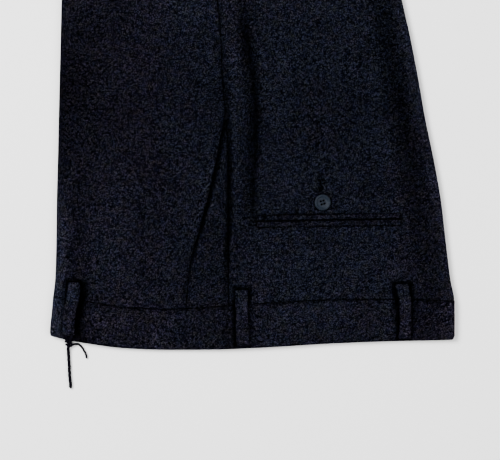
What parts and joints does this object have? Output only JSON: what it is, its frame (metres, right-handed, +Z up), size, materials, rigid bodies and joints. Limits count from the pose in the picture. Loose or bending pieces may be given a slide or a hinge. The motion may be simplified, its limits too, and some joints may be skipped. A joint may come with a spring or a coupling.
{
  "type": "tailored trousers, laid flat",
  "caption": "Dark wool trousers lying flat on their side, legs stacked, with belt loops, a slanted side pocket and a buttoned back pocket.",
  "frame": {"origin": "under the middle of the garment without its cord, on the surface it lies on", "axes": "+Y along the legs from the waist to the hems, +X from the front fold to the seat, +Z up out of the upper leg"},
  "size_m": [0.3724, 1.0765, 0.0159],
  "materials": {
    "wool": "brushed melange wool flannel, matt, very dark navy",
    "pocketing": "plain cotton pocketing, dark",
    "button": "slate blue, satin, slightly mottled",
    "cord": "twisted dark cord"
  },
  "bodies": {
    "root": {"right_front_panel": "wool", "right_back_panel": "wool", "left_front_panel": "wool", "left_back_panel": "wool", "right_pocket_facing": "wool", "left_pocket_facing": "wool", "right_side_pocket_bag": "pocketing", "left_side_pocket_bag": "pocketing", "back_pocket_bag": "pocketing", "fly_shield": "wool", "right_waistband": "wool", "left_waistband": "wool", "right_belt_loop_front": "wool", "right_belt_loop_side": "wool", "right_belt_loop_seat": "wool", "left_belt_loop_front": "wool", "left_belt_loop_side": "wool", "left_belt_loop_seat": "wool", "back_pocket_upper_welt": "wool", "back_pocket_lower_welt": "wool", "back_pocket_button": "button", "waist_cord_long_end": "cord", "waist_cord_short_end": "cord", "waist_cord_knot": "cord"}
  },
  "joints": []
}
